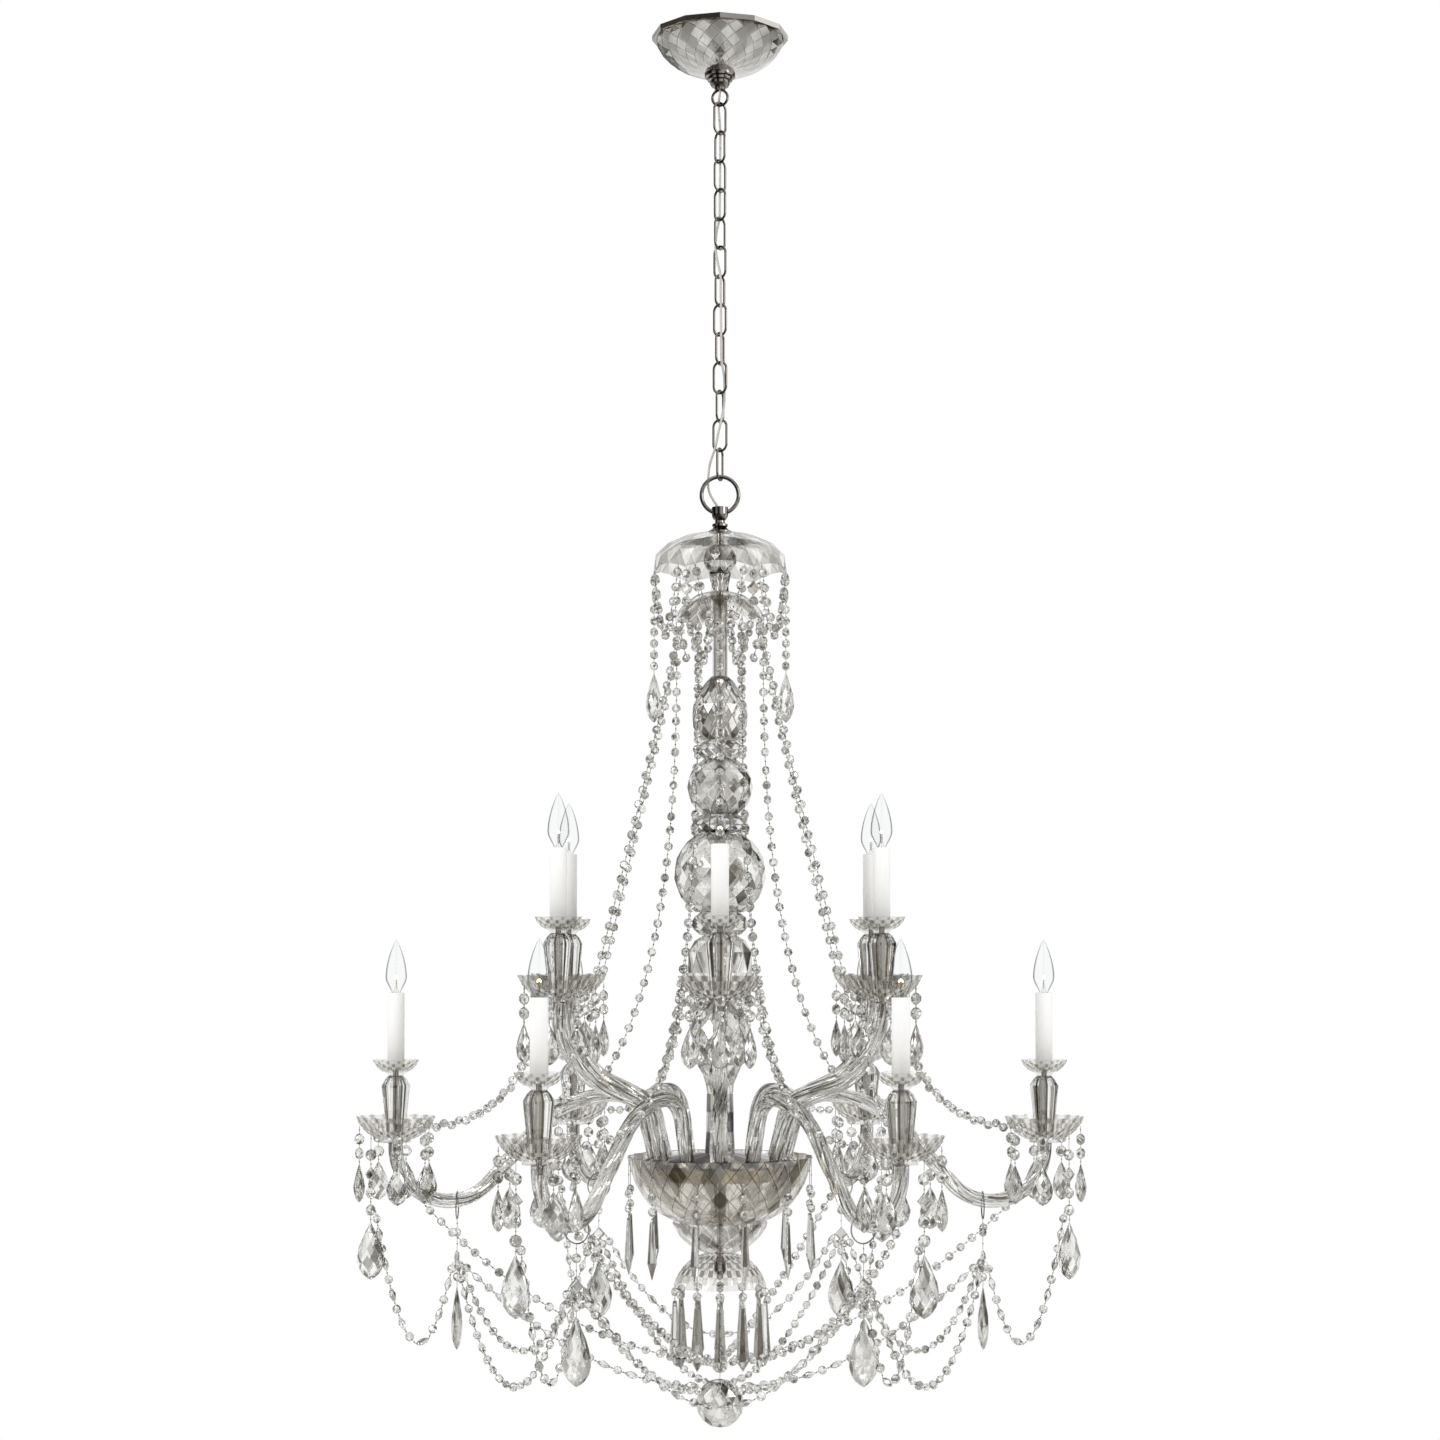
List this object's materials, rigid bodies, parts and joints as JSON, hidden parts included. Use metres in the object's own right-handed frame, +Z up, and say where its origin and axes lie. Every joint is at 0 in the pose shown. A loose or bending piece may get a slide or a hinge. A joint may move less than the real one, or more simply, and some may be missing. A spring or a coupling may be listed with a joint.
{
  "type": "crystal chandelier",
  "caption": "Two-tier candle-style crystal chandelier with curved glass arms, bead swags, faceted drops, a glass ball column, link chain and domed ceiling canopy.",
  "frame": {"origin": "middle of the canopy top, on the ceiling plane", "axes": "+Z up, -Y towards the viewer of the picture, the fixture hangs along -Z"},
  "size_m": [1.091, 0.961, 2.0875],
  "materials": {
    "cut_glass": "cut, polished",
    "crystal": "faceted, polished",
    "bulb_glass": "clear",
    "nickel": "polished nickel",
    "steel": "zinc plated",
    "brass_cap": "plated",
    "white_sleeve": "matte white",
    "holder_plastic": "matte",
    "cord_jacket": "clear silver",
    "wire_jacket": "translucent",
    "connector": "matte"
  },
  "bodies": {
    "canopy": {"ceiling_crossbar": "steel", "canopy_nipple": "steel", "canopy_locknut": "steel", "canopy_plate": "nickel", "canopy_dish": "cut_glass", "canopy_collar": "nickel", "canopy_loop": "nickel", "canopy_wire_nuts": "connector"},
    "chain_top_link": {"chain_top_link": "nickel"},
    "chain": {"chain_links": "nickel", "supply_cord": "cord_jacket"},
    "chain_bottom_link": {"chain_bottom_link": "nickel"},
    "fixture": {"arm_end_seats": "nickel", "arm_hub": "nickel", "arm_rings": "crystal", "arm_strands": "crystal", "arm_wires": "wire_jacket", "baluster_vase": "cut_glass", "bell_pendants": "crystal", "bell_swags": "crystal", "bottom_ball": "crystal", "bottom_nut": "nickel", "bottom_swags": "crystal", "bowl_ball": "cut_glass", "bulb_caps": "brass_cap", "bulbs": "bulb_glass", "candle_bobeches": "cut_glass", "candle_cups": "cut_glass", "candle_sleeves": "white_sleeve", "column_spacers": "cut_glass", "column_tubes": "cut_glass", "dish_pendants": "crystal", "dish_strands": "crystal", "drip_dishes": "cut_glass", "egg_ball": "cut_glass", "hanging_prisms": "crystal", "hanging_ring": "nickel", "hub_bowl": "cut_glass", "hub_cover": "nickel", "hub_wire_nuts": "connector", "lamp_holders": "holder_plastic", "large_ball": "cut_glass", "lower_arms": "cut_glass", "lower_ball": "cut_glass", "lower_bell": "cut_glass", "neck_ball": "cut_glass", "outer_swags": "crystal", "small_bell": "cut_glass", "stem_pipe": "steel", "top_bell": "cut_glass", "top_finial": "nickel", "upper_arms": "cut_glass", "upper_ball": "cut_glass", "upper_strands": "crystal"},
    "arm_drop_1": {"arm_drop_1": "crystal"},
    "arm_drop_2": {"arm_drop_2": "crystal"},
    "arm_drop_3": {"arm_drop_3": "crystal"},
    "arm_drop_4": {"arm_drop_4": "crystal"},
    "arm_drop_5": {"arm_drop_5": "crystal"},
    "arm_drop_6": {"arm_drop_6": "crystal"}
  },
  "joints": [
    {"name": "top_link_swing", "type": "hinge", "parent": "canopy", "child": "chain_top_link", "pos_m": [0, 0, -0.1065], "axis": [0.9703, -0.2419, 0], "range_deg": [-12, 12], "deforming": ["supply_cord"]},
    {"name": "chain_swing", "type": "hinge", "parent": "chain_top_link", "child": "chain", "pos_m": [0, 0, -0.15], "axis": [0.788, 0.6157, 0], "range_deg": [-12, 12], "deforming": ["supply_cord"]},
    {"name": "bottom_link_swing", "type": "hinge", "parent": "chain", "child": "chain_bottom_link", "pos_m": [0, 0, -0.6307], "axis": [0.91, -0.4147, 0], "range_deg": [-12, 12], "deforming": ["supply_cord"]},
    {"name": "fixture_swing", "type": "hinge", "parent": "chain_bottom_link", "child": "fixture", "pos_m": [0, 0, -0.6744], "axis": [0.3746, 0.9272, 0], "range_deg": [-10, 10], "deforming": ["supply_cord"]},
    {"name": "arm_drop_1_swing", "type": "hinge", "parent": "fixture", "child": "arm_drop_1", "pos_m": [0.19549, -0.3386, -1.88007], "axis": [0.5, -0.866, 0], "range_deg": [-12, 12]},
    {"name": "arm_drop_2_swing", "type": "hinge", "parent": "fixture", "child": "arm_drop_2", "pos_m": [0.39098, 0, -1.88007], "axis": [1, 0, 0], "range_deg": [-12, 12]},
    {"name": "arm_drop_3_swing", "type": "hinge", "parent": "fixture", "child": "arm_drop_3", "pos_m": [0.19549, 0.3386, -1.88007], "axis": [0.5, 0.866, 0], "range_deg": [-12, 12]},
    {"name": "arm_drop_4_swing", "type": "hinge", "parent": "fixture", "child": "arm_drop_4", "pos_m": [-0.19549, 0.3386, -1.88007], "axis": [-0.5, 0.866, 0], "range_deg": [-12, 12]},
    {"name": "arm_drop_5_swing", "type": "hinge", "parent": "fixture", "child": "arm_drop_5", "pos_m": [-0.39098, 0, -1.88007], "axis": [-1, 0, 0], "range_deg": [-12, 12]},
    {"name": "arm_drop_6_swing", "type": "hinge", "parent": "fixture", "child": "arm_drop_6", "pos_m": [-0.19549, -0.3386, -1.88007], "axis": [-0.5, -0.866, 0], "range_deg": [-12, 12]}
  ]
}
